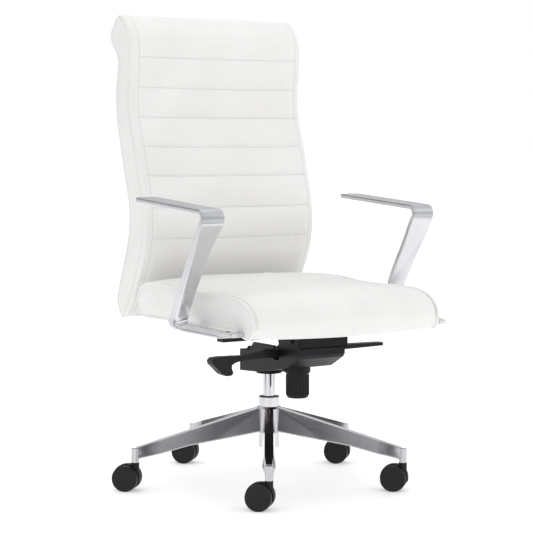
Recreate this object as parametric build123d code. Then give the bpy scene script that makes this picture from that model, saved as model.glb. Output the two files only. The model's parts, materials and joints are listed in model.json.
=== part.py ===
from build123d import *
import os

# Swivel office chair. Millimetres, +Z up. The origin is on the floor at the swivel axis.
# The sitter faces -Y, and -X is on the sitter's right.

# ---------------------------------------------------------------- driving dimensions
running = 0.05              # radial clearance of a shaft in its hole
skin_gap = 0.4              # clearance between pieces that move past each other
soft_gap = 0.3              # clearance between a soft pad and a hard piece

# five-star base
leg_count = 5
leg_turn = -122.5           # direction of the first leg about +Z, degrees
pivot_radius = 325.0        # caster stem circle
hub_radius = 30.0
hub_bottom = 122.0
hub_top = 178.0
leg_root_radius = 16.0
leg_root_top = 183.0
leg_tip_top = 99.5
leg_tip_bottom = 74.0
leg_top_half = 10.0         # half-width of the flat along the top of a leg
leg_low_half = 15.0         # half-width of a leg at its lower edges
leg_nose_radius = 9.2
leg_shoulder = 270.0        # where a leg starts to narrow towards its nose
leg_shoulder_bottom = 84.0
leg_middle = 200.0
leg_middle_bottom = 100.0
socket_bottom = 70.0
socket_depth = 26.5

# casters
wheel_radius = 30.0
wheel_width = 17.8
caster_width = 50.0
caster_trail = 20.0
trail_turn = 134.4          # direction in which every caster trails, degrees
web_width = 13.6
web_rise = 2.5              # how far the web between the wheels stands above them
hood_clearance = 1.5
caster_boss_radius = 9.5
stem_radius = 5.5
stem_top = 96.0
stem_collar_radius = 8.5
axle_radius = 4.0

# gas column
tube_radius = 24.5
tube_low_radius = 23.0
tube_bottom = 86.0
tube_top = 205.0
tube_wall = 2.0
sleeve_length = 50.0
sleeve_lip = 1.8
cylinder_radius = 14.0
cylinder_wall = 1.6
cylinder_cap = 8.0
cylinder_bottom = 93.0
cylinder_top = 304.0
rod_radius = 5.0
piston_thickness = 9.0
valve_radius = 4.0
valve_rise = 9.0
lift_travel = 95.0

# tilt mechanism
housing_half = 62.0
housing_wall = 5.0
housing_rim = 341.0
boss_radius = 50.0
boss_bottom = 262.0
boss_top = 320.0
cone_radius = 24.0
pivot_y = -195.0
pivot_z = 362.0
tilt_axle_radius = 7.0
ear_radius = 13.0
ear_thickness = 7.0
channel_top = 396.0
channel_sheet = 4.0
channel_gap = 1.5
channel_rear = 60.0
channel_front = -226.0
channel_skirt = 360.0
knob_y = -122.0
knob_radius = 27.5
knob_foot_radius = 25.0
knob_bottom = 217.0
knob_top = 276.0
knob_ribs = 24
knob_rib_radius = 1.5
screw_radius = 6.0
screw_top = 342.0
nut_half = 20.0
nut_thickness = 9.0
nut_bottom = 301.0
spring_radius = 15.0
spring_wire = 2.6
spring_turns = 7
lever_x = -50.0             # axis of the height lever, along Y
lever_z = 323.0
lever_y = -128.0
lever_shaft_radius = 5.5
lever_depth = 18.0
paddle_depth = 24.0
lock_y = -108.0
lock_z = 326.0
lock_shaft_radius = 6.0
lock_reach = 248.0
crossarm_y = -200.0
crossarm_depth = 26.0
crossarm_low = 368.0
crossarm_bolt_inset = 28.0

# seat
seat_half = 250.0
crossarm_reach = seat_half + 4.0
seat_rear = 183.0
seat_front = -350.0
seat_corner_front = -324.0
seat_bottom = 396.0
seat_top = 479.0
board_thickness = 12.0
board_inset = 14.0

# back
back_half = 238.0
back_board_half = 215.0
back_board_thickness = 12.0
roll_seam = 1006.0          # seam under the roll at the top of the back
bracket_x = 120.0
bracket_width = 50.0
bracket_thickness = 6.0
bracket_front = 66.0
bracket_bolt_ys = (90.0, 140.0)

# arms
arm_outer = seat_half + 62.0
arm_inner = seat_half + 6.5
arm_low_outer = seat_half + 54.0
arm_low_inner = seat_half + 14.0
arm_thickness = 10.0
arm_front_bend = 15.0       # bend radii at the middle of the band
arm_rear_bend = 18.0
arm_cap_thickness = 2.5
arm_cap_inset = 3.0
arm_cap_low = 628.0
tongue_inner = seat_half - 45.0
tongue_depth = 30.0
tongue_ys = (-276.0, -122.0)
tongue_bolt_inset = 14.0

bolt_radius = 3.0
bolt_head_radius = 6.5
bolt_head_height = 4.0
bolt_bite = 8.0             # how far a bolt reaches into a board

# the side view of the back: (y, z) down the rear face, then down the front face
BACK_CROWN = (291, 1107)
BACK_REAR = [
    BACK_CROWN, (327, 1100), (354, 1070), (340, 1036), (314, 1008), (317, 960), (324, 895),
    (308, 809), (280, 713), (262, 640), (269, 570), (309, 471), (333, 405),
]
BACK_FRONT = [
    BACK_CROWN, (258, 1097), (229, 1052), (226, 985), (233, 895), (211, 809), (180, 713),
    (165, 640), (169, 562), (197, 497), (248, 400),
]
BACK_FOOT = (291, 382)
# the middle of the back's thickness, where its board runs
BACK_MIDDLE = [(267, 995), (279, 895), (260, 809), (230, 713), (213, 640), (219, 570), (260, 471), (282, 420)]

# the middle of an arm's band in the side view: pad tip, front bend, rear bend, end of the foot
ARM_MIDDLE = [(80, 673), (-230.7, 652), (-50.5, 391), (-292, 391)]

made = {}


# ---------------------------------------------------------------- helpers
def ring(outer, inner, low, high):
    """A tube about +Z between two heights."""
    face = Circle(outer) - Circle(inner) if inner else Circle(outer)
    return Pos(0, 0, low) * extrude(face, high - low)


def rod_x(radius, start, end, y, z):
    """A round bar along +X."""
    return Pos(start, y, z) * Rot(0, 90, 0) * extrude(Circle(radius), end - start)


def rod_y(radius, start, end, x, z):
    """A round bar along +Y."""
    return Pos(x, start, z) * Rot(-90, 0, 0) * extrude(Circle(radius), end - start)


def rod_z(radius, start, end, x, y):
    """A round bar along +Z."""
    return Pos(x, y, start) * extrude(Circle(radius), end - start)


def block(low, high):
    """A box given by two opposite corners."""
    size = [b - a for a, b in zip(low, high)]
    middle = [(a + b) / 2 for a, b in zip(low, high)]
    return Pos(*middle) * Box(*size)


def side_prism(wire, start, end):
    """A (y, z) outline carried along +X."""
    plane = Plane(origin=(start, 0, 0), x_dir=(0, 1, 0), z_dir=(1, 0, 0))
    return extrude(plane * make_face(wire), end - start)


def front_prism(wire, start, end):
    """An (x, z) outline carried along +Y from start to end."""
    plane = Plane(origin=(0, end, 0), x_dir=(1, 0, 0), z_dir=(0, -1, 0))
    return extrude(plane * make_face(wire), end - start)


def closed(points):
    return Polyline(*points, close=True)


def both_sides(shape):
    """A piece and its mirror image across the chair's middle plane."""
    return shape + mirror(shape, Plane.YZ)


def save(name, shape):
    made[name] = shape


# ---------------------------------------------------------------- base and casters
def leg_angles():
    return [leg_turn + i * 360.0 / leg_count for i in range(leg_count)]


def leg_section(radius, top, bottom, top_half=leg_top_half, low_half=leg_low_half):
    """A leg's cross-section: a flat top that flares to wider lower edges."""
    plane = Plane(origin=(radius, 0, 0), x_dir=(0, 1, 0), z_dir=(1, 0, 0))
    lip = bottom + 3.0
    outline = [
        (-top_half, top), (top_half, top), (low_half, lip), (low_half - 1, bottom),
        (1 - low_half, bottom), (-low_half, lip),
    ]
    return plane * make_face(closed(outline))


def leg_top(radius):
    """Height of a leg's sloping top at a distance from the swivel axis."""
    share = (radius - leg_root_radius) / (pivot_radius - leg_root_radius)
    return leg_root_top + (leg_tip_top - leg_root_top) * share


def base_leg():
    tip = pivot_radius - leg_nose_radius / 2
    arm = loft([
        leg_section(leg_root_radius, leg_root_top, hub_bottom + 3),
        leg_section(leg_middle, leg_top(leg_middle), leg_middle_bottom),
        leg_section(leg_shoulder, leg_top(leg_shoulder), leg_shoulder_bottom),
        leg_section(tip, leg_top(tip), leg_tip_bottom, leg_nose_radius - 2, leg_nose_radius - 0.5),
    ], ruled=True)
    nose = ring(leg_nose_radius, 0, socket_bottom, leg_tip_top - 1)
    socket_skin = ring(stem_radius + 2.5, 0, socket_bottom, socket_bottom + socket_depth + 1.5)
    return arm + Pos(pivot_radius, 0, 0) * (nose + socket_skin)


def lift_tube_outer(extra=0.0):
    """The column tube's outside: straight above the hub, tapered where it seats in the hub."""
    low = Pos(0, 0, tube_bottom) * loft([
        Circle(tube_low_radius + extra),
        Pos(0, 0, hub_top - tube_bottom) * Circle(tube_radius + extra),
    ])
    return low + ring(tube_radius + extra, 0, hub_top, tube_top)


def base_star():
    star = ring(hub_radius, 0, hub_bottom, hub_top)
    star += Pos(0, 0, hub_top) * extrude(Circle(hub_radius), 5.0, taper=30)
    for angle in leg_angles():
        star += Rot(0, 0, angle) * base_leg()
    star -= lift_tube_outer()
    for angle in leg_angles():
        bore = ring(stem_radius + running, 0, socket_bottom - 1, socket_bottom + socket_depth)
        star -= Rot(0, 0, angle) * Pos(pivot_radius, 0, 0) * bore
    save("base_star", star)


def gas_column():
    inner = tube_low_radius - tube_wall
    tube = lift_tube_outer() - ring(inner, 0, tube_bottom + 3, tube_top + 1)
    tube -= ring(rod_radius + running, 0, tube_bottom - 1, tube_bottom + 4)
    save("lift_tube", tube)

    sleeve = ring(inner, cylinder_radius + running, tube_top - sleeve_length, tube_top)
    sleeve += ring(tube_radius - 1.0, cylinder_radius + running, tube_top, tube_top + sleeve_lip)
    save("guide_sleeve", sleeve)

    bearing_low = tube_bottom + 3
    save("thrust_bearing", ring(rod_radius + 4.5, rod_radius + running, bearing_low, bearing_low + 3))

    # the piston stays above the cylinder's lower cap when the seat is fully raised
    piston_low = cylinder_bottom + cylinder_cap + lift_travel + skin_gap
    piston_high = piston_low + piston_thickness
    rod = ring(rod_radius, 0, tube_bottom - 6, piston_high)
    rod += ring(cylinder_radius - cylinder_wall - running, 0, piston_low, piston_high)
    save("piston_rod", rod)
    clip = ring(rod_radius + 4, rod_radius, tube_bottom - 3, tube_bottom - 1)
    save("rod_clip", clip)

    cylinder = ring(cylinder_radius, 0, cylinder_bottom, cylinder_top)
    cylinder -= ring(cylinder_radius - cylinder_wall, 0, cylinder_bottom + cylinder_cap, cylinder_top - 4)
    cylinder -= ring(rod_radius + running, 0, cylinder_bottom - 1, cylinder_bottom + cylinder_cap + 1)
    cylinder -= ring(valve_radius + running, 0, cylinder_top - 5, cylinder_top + 1)
    save("lift_cylinder", cylinder)
    pin = ring(valve_radius, 0, cylinder_top - 8, cylinder_top + valve_rise)
    save("valve_pin", pin)


def caster(index, angle):
    """One twin-wheel caster, built trailing along +X from its stem and then turned into place."""
    place = Rot(0, 0, angle) * Pos(pivot_radius, 0, 0) * Rot(0, 0, trail_turn - angle)
    x = caster_trail
    z = wheel_radius
    half = caster_width / 2
    clear = rod_y(wheel_radius + hood_clearance, -half - 1, half + 1, x, z)
    web = rod_y(wheel_radius + web_rise, -web_width / 2, web_width / 2, x, z)
    web &= block((x - 60, -40, z - 8), (x + 60, 40, z + 60))
    boss = ring(caster_boss_radius, 0, z + 14, socket_bottom - 4.2) - clear
    hood = web + boss
    hood -= ring(stem_radius - 1.0, 0, 28, 90)
    hood -= rod_y(axle_radius, -half, half, x, z)
    save(f"caster_{index}_hood", place * hood)

    stem = ring(stem_radius - 1.0, 0, 34, socket_bottom - 4)
    stem += ring(stem_collar_radius, 0, socket_bottom - 4, socket_bottom - 0.1)
    stem += ring(stem_radius, 0, socket_bottom - 0.1, stem_top)
    save(f"caster_{index}_stem", place * stem)

    reach = web_width / 2 + skin_gap + wheel_width
    save(f"caster_{index}_axle", place * rod_y(axle_radius, -reach + 3, reach - 3, x, z))

    near = web_width / 2 + skin_gap
    for side, name in ((-1, "a"), (1, "b")):
        ends = sorted((side * near, side * (near + wheel_width)))
        wheel = rod_y(wheel_radius, ends[0], ends[1], x, z)
        wheel = fillet(wheel.edges().filter_by(GeomType.CIRCLE), 3.0)
        blind = sorted((side * (near - 1), side * (reach - 2.5)))
        wheel -= rod_y(axle_radius + running, blind[0], blind[1], x, z)
        save(f"caster_{index}_wheel_{name}", place * wheel)


# ---------------------------------------------------------------- tilt mechanism
def tilt_housing():
    outline = [
        (30, boss_bottom + 7), (-46, 273), (-169, 293), (-216, 318), (-223, 326), (-223, housing_rim),
        (-30, housing_rim), (-10, boss_top), (30, boss_top),
    ]
    body = side_prism(closed(outline), -housing_half, housing_half)
    body += ring(boss_radius, 0, boss_bottom + 7, boss_top)
    body += ring(cone_radius + 6, 0, boss_bottom, boss_bottom + 8)
    hollow = [
        (-32, 281), (-166, 300), (-211, 323), (-217, 332), (-217, housing_rim + 1),
        (-26, housing_rim + 1), (-32, 330),
    ]
    inside = housing_half - housing_wall
    body -= side_prism(closed(hollow), -inside, inside)
    # pocket over the column, where the lever's finger swings
    body -= block((lever_x - 8, -34, cylinder_top), (cylinder_radius, 16, boss_top + 30))
    # ears that carry the tilt axle
    ear = rod_x(ear_radius, inside - ear_thickness, inside, pivot_y, pivot_z)
    ear += block((inside - ear_thickness, pivot_y - ear_radius, housing_rim - 14),
                 (inside, pivot_y + ear_radius, pivot_z))
    body += both_sides(ear)
    body -= rod_x(tilt_axle_radius, -housing_half, housing_half, pivot_y, pivot_z)
    # collar over the tension knob, and the hole for its screw
    collar = rod_z(knob_radius + 2.5, knob_top, 290, 0, knob_y)
    body += collar
    body -= rod_z(knob_radius - 4, knob_top - 1, knob_top + 3, 0, knob_y)
    body -= rod_z(screw_radius + running, knob_top, 310, 0, knob_y)
    # seat for the column's top
    body -= ring(cylinder_radius, 0, boss_bottom - 1, boss_top + 1)
    # way out for the height lever, and bearings for its shaft
    body -= block((-housing_half - 1, lever_y - lever_depth / 2 - 1.5, lever_z - 14),
                  (-inside + 1, lever_y + lever_depth / 2 + 1.5, housing_rim + 1))
    for y in (lever_y - 22, lever_y + 22, -60.0):
        seat = block((lever_x - 7, y - 4, 284), (lever_x + 9, y + 4, lever_z + 9))
        body += seat
    body -= rod_y(lever_shaft_radius + running, lever_y - 26.5, 12, lever_x, lever_z)
    # bearing for the tilt lock's shaft
    body += block((inside - 12, lock_y - 11, 290), (inside, lock_y + 11, lock_z + 11))
    body -= rod_x(lock_shaft_radius + running, inside - 30, housing_half + 1, lock_y, lock_z)
    save("tilt_housing", body)

    reach = housing_half + channel_gap + channel_sheet + 4
    save("tilt_axle", rod_x(tilt_axle_radius, -reach, reach, pivot_y, pivot_z))
    groove = reach - 3
    clip = rod_x(tilt_axle_radius + 4, groove, groove + 2, pivot_y, pivot_z)
    clip -= rod_x(tilt_axle_radius, groove - 1, groove + 3, pivot_y, pivot_z)
    save("axle_clips", both_sides(clip))


def height_lever():
    arm_outline = [
        (lever_x - 4, lever_z + 9), (-80, 335), (-100, 330), (-150, 325), (-215, 326), (-232, 325),
        (-239, 319), (-237, 311), (-224, 299), (-212, 287), (-200, 282), (-188, 283), (-183, 288),
        (-187, 298), (-187, 306), (-178, 311), (-150, 315), (-100, 317), (lever_x - 4, lever_z - 9),
    ]
    arm = front_prism(closed(arm_outline), lever_y - lever_depth / 2, lever_y + lever_depth / 2)
    arm += rod_y(9.5, lever_y - lever_depth / 2, lever_y + lever_depth / 2, lever_x, lever_z)
    paddle = front_prism(closed(arm_outline), lever_y - paddle_depth / 2, lever_y + paddle_depth / 2)
    arm += paddle & block((-260, -200, 270), (-172, 0, 340))
    arm += rod_y(lever_shaft_radius, lever_y - 25.5, 8, lever_x, lever_z)
    # finger that presses the valve pin
    finger_low = cylinder_top + valve_rise + skin_gap
    arm += block((lever_x, -6, finger_low), (6, 6, finger_low + 6))
    save("height_lever", arm)


def lock_lever():
    inside = housing_half - housing_wall
    root = housing_half + 10
    shaft = rod_x(lock_shaft_radius, inside - 20, root + 8, lock_y, lock_z)
    blade = front_prism(closed([
        (root, lock_z - 8), (root, lock_z + 8), (root + 38, lock_z + 6), (lock_reach, lock_z + 4),
        (lock_reach, lock_z - 3), (root + 38, lock_z - 6),
    ]), lock_y - 13, lock_y + 13)
    corners = blade.edges().filter_by(Axis.Z).sort_by(Axis.X)[-2:]
    blade = fillet(corners, 8.0)
    cam = rod_x(lock_shaft_radius + 3, inside - 20, inside - 12 - skin_gap, lock_y, lock_z)
    save("lock_lever", shaft + blade + cam)


def tension_knob():
    height = knob_top - knob_bottom
    grip = Pos(0, knob_y, knob_bottom) * loft([
        Circle(knob_foot_radius), Pos(0, 0, height - skin_gap) * Circle(knob_radius - knob_rib_radius),
    ])
    foot = grip.edges().filter_by(GeomType.CIRCLE).sort_by(Axis.Z)[0]
    grip = fillet(foot, 6.0)
    reach = knob_foot_radius + 0.6
    for i in range(knob_ribs):
        turn = Rot(0, 0, i * 360.0 / knob_ribs)
        grip += Pos(0, knob_y, 0) * turn * rod_z(knob_rib_radius, knob_bottom + 7, knob_top - 5, reach, 0)
    grip -= rod_z(screw_radius, knob_bottom + 12, knob_top + 1, 0, knob_y)
    save("tension_knob", grip)
    save("tension_screw", rod_z(screw_radius, knob_bottom + 12, screw_top, 0, knob_y))

    nut_top = nut_bottom + nut_thickness
    nut = block((-nut_half, knob_y - nut_half, nut_bottom), (nut_half, knob_y + nut_half, nut_top))
    nut -= rod_z(screw_radius + running, nut_bottom - 1, nut_top + 1, 0, knob_y)
    save("spring_nut", nut)

    low = nut_top + spring_wire + soft_gap
    high = channel_top - channel_sheet - spring_wire - soft_gap
    path = Helix((high - low) / spring_turns, high - low, spring_radius)
    wire = Plane(origin=path @ 0, z_dir=path % 0) * Circle(spring_wire)
    save("tilt_spring", Pos(0, knob_y, low) * sweep(wire, path, is_frenet=True))


def seat_carrier():
    """The folded steel channel that tilts on the axle and carries the seat, and its cross arms."""
    inner = housing_half + channel_gap
    outer = inner + channel_sheet
    skirt = [
        (channel_front, channel_top), (channel_front, housing_rim), (-150, housing_rim),
        (-142, channel_skirt), (channel_rear, channel_skirt + 14), (channel_rear, channel_top),
    ]
    carrier = side_prism(closed(skirt), -outer, outer)
    carrier -= block((-inner, -300, 300), (inner, 200, channel_top - channel_sheet))
    carrier += block((-inner - 26, channel_front + 30, channel_top - channel_sheet),
                     (inner + 26, channel_rear, channel_top))
    carrier += block((-outer, channel_front, housing_rim + 3),
                     (outer, channel_front + channel_sheet, channel_top))
    carrier -= rod_x(tilt_axle_radius + running, -outer - 1, outer + 1, pivot_y, pivot_z)
    for x, y in seat_bolt_places():
        carrier -= both_sides(rod_z(bolt_radius, channel_top - 10, channel_top + 1, x, y))
    save("seat_carrier", carrier)

    end = crossarm_reach
    outline = [
        (outer, crossarm_low - 5), (outer + 34, crossarm_low), (end, crossarm_low), (end, 376),
        (end - 10, 380), (end - 12, seat_bottom), (end - 44, seat_bottom), (end - 48, 384), (outer, 384),
    ]
    front = crossarm_y - crossarm_depth / 2
    arm = front_prism(closed(outline), front, front + crossarm_depth)
    arm -= rod_x(tilt_axle_radius + 6, outer - 1, outer + 12, pivot_y, pivot_z)
    bolt_x = end - crossarm_bolt_inset
    head_top = crossarm_low + bolt_head_height
    arm -= rod_z(bolt_radius, crossarm_low - 1, channel_top + 1, bolt_x, crossarm_y)
    arm -= rod_z(bolt_head_radius, crossarm_low - 1, head_top, bolt_x, crossarm_y)
    save("front_crossarms", both_sides(arm))
    bolt = rod_z(bolt_radius, head_top, seat_bottom + bolt_bite, bolt_x, crossarm_y)
    bolt += rod_z(bolt_head_radius, crossarm_low, head_top, bolt_x, crossarm_y)
    save("crossarm_bolts", both_sides(bolt))


def seat_bolt_places():
    return ((housing_half + 15, -150.0), (housing_half + 15, 20.0))


def seat_bolts():
    under = channel_top - channel_sheet
    bolts = Part()
    for x, y in seat_bolt_places():
        bolts += rod_z(bolt_radius, under, seat_bottom + bolt_bite, x, y)
        bolts += rod_z(bolt_head_radius, under - bolt_head_height, under, x, y)
    save("seat_bolts", both_sides(bolts))


# ---------------------------------------------------------------- seat
def seat_plan(inset):
    """The seat from above: straight sides and rear, and a bowed front."""
    half = seat_half - inset
    rear = seat_rear - inset
    corner = seat_corner_front + inset
    front = seat_front + inset
    sides = Polyline((-half, corner), (-half, rear), (half, rear), (half, corner))
    bow = ThreePointArc((half, corner), (0, front), (-half, corner))
    return make_face(Wire([*sides.edges(), bow]))


def seat():
    board_top = seat_bottom + board_thickness
    board = Pos(0, 0, seat_bottom) * extrude(seat_plan(board_inset), board_thickness)
    board &= block((-300, -300, 300), (300, 300, 500))
    places = [*seat_bolt_places(), (crossarm_reach - crossarm_bolt_inset, crossarm_y)]
    places += [(tongue_inner + tongue_bolt_inset, y) for y in tongue_ys]
    places += [(bracket_x, y) for y in bracket_bolt_ys]
    holes = Part()
    for x, y in places:
        holes += rod_z(bolt_radius, seat_bottom - 1, seat_bottom + bolt_bite, x, y)
    board -= both_sides(holes)
    save("seat_board", board)

    profile = Spline(
        (seat_rear - 6, seat_bottom + 6), (seat_rear, 430), (seat_rear - 22, 466), (60, 476),
        (-180, seat_top), (-290, 474), (-335, 448), (seat_front, 415), (-340, 386),
    )
    under = Polyline((-340, 386), (-318, 388), (-296, seat_bottom), (seat_rear - 14, seat_bottom),
                     (seat_rear - 6, seat_bottom + 6))
    body = side_prism(Wire([profile, *under.edges()]), -seat_half, seat_half)
    body &= Pos(0, 0, 300) * extrude(seat_plan(0), 300)
    recess = extrude(seat_plan(board_inset - soft_gap), board_thickness + soft_gap)
    recess = Pos(0, 0, seat_bottom - 0.01) * recess
    body -= recess & block((-300, -300 - soft_gap, 300), (300, 300, 500))
    save("seat_cushion", body)


# ---------------------------------------------------------------- back
def shifted(points, dy):
    return [(y + dy, z) for y, z in points]


def back_region(points, side):
    """Everything in front of (side -1) or behind (side +1) a line down the back."""
    top = (points[0][0], 1200)
    low = (points[-1][0], 300)
    line = Spline(*points)
    edge = 600 if side > 0 else -100
    frame = [
        Line(points[-1], low), Line(low, (edge, 300)), Line((edge, 300), (edge, 1200)),
        Line((edge, 1200), top), Line(top, points[0]),
    ]
    return side_prism(Wire([line, *frame]), -400, 400)


def back_bracket(grow=0.0):
    """One L-shaped steel strip that joins the seat board to the back's board."""
    lean = back_board_thickness / 2
    under = seat_bottom - bracket_thickness
    outline = [
        (bracket_front, seat_bottom + grow), (bracket_front, under - grow),
        (288 + lean + grow, under - grow), (292 + lean + grow, 416), (274 + lean + grow, 471),
        (248 + lean + grow, 527 + grow), (233 + lean - grow, 527 + grow), (262 + lean - grow, 471),
        (284 + lean - grow, 414), (282 + lean - grow, seat_bottom + grow),
    ]
    half = bracket_width / 2 + grow
    return side_prism(closed(outline), bracket_x - half, bracket_x + half)


def back():
    outline = Wire([
        Spline(*BACK_REAR), ThreePointArc(BACK_REAR[-1], BACK_FOOT, BACK_FRONT[-1]), Spline(*BACK_FRONT),
    ])
    whole = side_prism(outline, -back_half, back_half)
    upper = block((-400, 0, roll_seam), (400, 600, 1300))
    save("head_roll", whole & upper)
    lower = whole - upper

    thick = back_board_thickness / 2
    front_line = Spline(*shifted(BACK_MIDDLE, -thick))
    rear_line = Spline(*shifted(BACK_MIDDLE, thick))
    board = side_prism(Wire([
        front_line, Line(front_line @ 1, rear_line @ 1), rear_line, Line(rear_line @ 0, front_line @ 0),
    ]), -back_board_half, back_board_half)
    strips = both_sides(back_bracket(soft_gap))
    front = lower & back_region(BACK_MIDDLE, -1)
    rear = lower & back_region(BACK_MIDDLE, 1)
    bolts = Part()
    for z in (450.0, 500.0):
        y = 272.0 - (z - 450) * 0.45
        bolts += rod_y(bolt_radius, y - 12, y + 16, bracket_x, z)
    bolts = both_sides(bolts)
    save("back_cushion", front - board - strips - bolts)
    save("back_rear_pad", rear - board - strips - bolts)
    bracket = both_sides(back_bracket())
    for y in bracket_bolt_ys:
        bracket -= both_sides(rod_z(bolt_radius, 380, 400, bracket_x, y))
    save("back_brackets", bracket - board - bolts)
    save("back_board", board - bolts)
    for y in bracket_bolt_ys:
        under = seat_bottom - bracket_thickness
        bolts += both_sides(rod_z(bolt_radius, under, seat_bottom + bolt_bite, bracket_x, y)
                            + rod_z(bolt_head_radius, under - bolt_head_height, under, bracket_x, y))
    save("back_bolts", bolts)


# ---------------------------------------------------------------- arms
def beside(points, distance):
    """The corners of a path that runs beside another one, on its left by this distance."""
    moved = []
    for start, end in zip(points[:-1], points[1:]):
        along = Vector(end[0] - start[0], end[1] - start[1]).normalized()
        left = Vector(along.Y, -along.X) * distance
        moved.append((Vector(*start) + left, Vector(*end) + left, along))
    corners = [moved[0][0]]
    for (_, first, a), (second, _, b) in zip(moved[:-1], moved[1:]):
        gap = second - first
        share = (gap.X * b.Y - gap.Y * b.X) / (a.X * b.Y - a.Y * b.X)
        corners.append(first + a * share)
    corners.append(moved[-1][1])
    return [(c.X, c.Y) for c in corners]


def band(points, radii, thickness, start, end):
    """A strip bent to a side-view path and carried along +X."""
    path = FilletPolyline(*points, radius=radii)
    plane = Plane(origin=(start, 0, 0), x_dir=(0, 1, 0), z_dir=(1, 0, 0))
    return extrude(plane * trace(path, line_width=thickness), end - start)


def arms():
    strip = band(ARM_MIDDLE, [arm_front_bend, arm_rear_bend], arm_thickness, tongue_inner, arm_outer)
    front_view = [
        (arm_inner, 700), (arm_outer, 700), (arm_outer, 640), (arm_low_outer + 4, 478),
        (arm_low_outer, 404), (arm_low_outer, 380), (arm_low_inner, 380), (arm_low_inner, 478),
        (arm_inner + 2, 560), (arm_inner, 640),
    ]
    strip &= front_prism(closed(front_view), -400, 200)
    foot_low = ARM_MIDDLE[-1][1] - arm_thickness / 2
    foot_high = foot_low + arm_thickness
    for y in tongue_ys:
        strip += block((tongue_inner, y - tongue_depth / 2, foot_low),
                       (arm_low_inner + 4, y + tongue_depth / 2, foot_high))
        strip -= rod_z(bolt_radius, foot_low - 4, foot_high + 4, tongue_inner + tongue_bolt_inset, y)
    out = (arm_thickness - arm_cap_thickness) / 2
    cap_path = beside(ARM_MIDDLE[:3], out)
    cap = band(cap_path, [arm_front_bend + out], arm_cap_thickness, arm_inner + arm_cap_inset,
               arm_outer - arm_cap_inset)
    cap &= block((0, -400, arm_cap_low), (400, ARM_MIDDLE[0][0] - arm_cap_inset, 700))
    strip -= cap
    save("arm_left", strip)
    save("arm_right", mirror(strip, Plane.YZ))
    save("arm_cap_left", cap)
    save("arm_cap_right", mirror(cap, Plane.YZ))
    bolts = Part()
    for y in tongue_ys:
        bolts += rod_z(bolt_radius, foot_low, seat_bottom + bolt_bite, tongue_inner + tongue_bolt_inset, y)
        bolts += rod_z(bolt_head_radius, foot_low - bolt_head_height, foot_low, tongue_inner + tongue_bolt_inset, y)
    save("arm_bolts", both_sides(bolts))


# ---------------------------------------------------------------- build
base_star()
gas_column()
for number, direction in enumerate(leg_angles(), start=1):
    caster(number, direction)
tilt_housing()
height_lever()
lock_lever()
tension_knob()
seat_carrier()
seat_bolts()
seat()
back()
arms()

os.makedirs("parts", exist_ok=True)
for node, shape in made.items():
    export_step(Compound(children=shape.solids()), f"parts/{node}.step")
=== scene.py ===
import json
import math

import bmesh
import bpy
import numpy as np
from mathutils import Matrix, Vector
from mathutils.bvhtree import BVHTree
from mathutils.noise import noise

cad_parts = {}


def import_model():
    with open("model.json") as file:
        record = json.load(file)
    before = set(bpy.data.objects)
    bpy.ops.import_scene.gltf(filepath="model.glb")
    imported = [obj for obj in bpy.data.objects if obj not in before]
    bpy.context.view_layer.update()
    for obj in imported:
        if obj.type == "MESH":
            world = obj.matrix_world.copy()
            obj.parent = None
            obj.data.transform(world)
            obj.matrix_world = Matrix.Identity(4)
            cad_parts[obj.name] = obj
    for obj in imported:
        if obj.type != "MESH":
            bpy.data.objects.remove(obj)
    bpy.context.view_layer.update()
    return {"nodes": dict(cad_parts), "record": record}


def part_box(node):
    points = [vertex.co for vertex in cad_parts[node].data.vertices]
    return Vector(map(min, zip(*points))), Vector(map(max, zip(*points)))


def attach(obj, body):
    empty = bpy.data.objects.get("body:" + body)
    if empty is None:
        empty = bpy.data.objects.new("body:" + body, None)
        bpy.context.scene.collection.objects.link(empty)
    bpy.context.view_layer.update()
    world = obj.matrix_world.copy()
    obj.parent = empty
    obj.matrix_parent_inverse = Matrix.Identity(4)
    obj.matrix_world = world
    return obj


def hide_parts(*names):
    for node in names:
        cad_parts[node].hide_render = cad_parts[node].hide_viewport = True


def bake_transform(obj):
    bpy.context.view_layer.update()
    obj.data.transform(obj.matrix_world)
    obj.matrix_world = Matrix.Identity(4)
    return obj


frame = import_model()

# ---------------------------------------------------------------- driving sizes, metres
CAM_TURN = math.radians(32.5)      # the camera stands this far round to the sitter's right
CAM_REACH = 4.144
CAM_HEIGHT = 0.795
CAM_PITCH = math.radians(3.9)
CAM_LENS = 119.4
CAM_SHIFT = -2.5 / 533

RIB_SEAMS = (1.007, 0.935, 0.865, 0.794, 0.725, 0.650, 0.576)
RIB_PUFF = 0.0044
RIB_BOW = 0.0022                   # how far a channel dips at the edges of the back
BORDER = 0.0085                    # strip between the front panel's stitching and its edge
GUSSET_FRONT = 0.018               # side seam, measured from the front face
GUSSET_REAR = 0.016                # side seam, measured from the rear face
BACK_CORNER = 0.013
BACK_COUNTS = (150, 7, 26)         # points across a face, round a corner and along a side of one row
BACK_ROWS = 270
OUTLINE_X = 0.225                  # where the outline of the CAD back is read
OUTLINE_POINTS = 420
OUTLINE_ROUNDS = 40                # rounds of smoothing of that outline
STITCH_PITCH = 0.0058
STITCH_LENGTH = 0.0040
STITCH_RADIUS = 0.00055
STITCH_LIFT = 0.0002
SIDE_PIPING = 0.0032               # radius of the piping round the seat's side panels
SIDE_SEAM = 0.0011                 # radius of the seam line inside that piping
SPRING_WIRE = 0.0026               # radius of the wire
SPRING_TURNS = 7
SPRING_SPLIT = 0.25                # share of the spring in its low length
FLOOR_SIZE = 240
FLOOR_GLOW = 0.33
SWEEP_NEAR = 1.1                   # the middle of the floor that polished metal reflects white; past it the floor is painted darker in reflections only (painted reflection)
SWEEP_FAR = 2.6
PAINTED_DARK_PAST_SWEEP = 0.05                   # painted reflection: how dark the floor is painted past the sweep, in reflections only, standing in for a dark room
PAINTED_SCREEN_TURNS = tuple(math.radians(turn) for turn in (167.5, -107.5, -6.5))   # painted dark screens: directions in which the floor is painted dark, seen only in reflections
PAINTED_SCREEN_HALF = math.radians(13)


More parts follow.
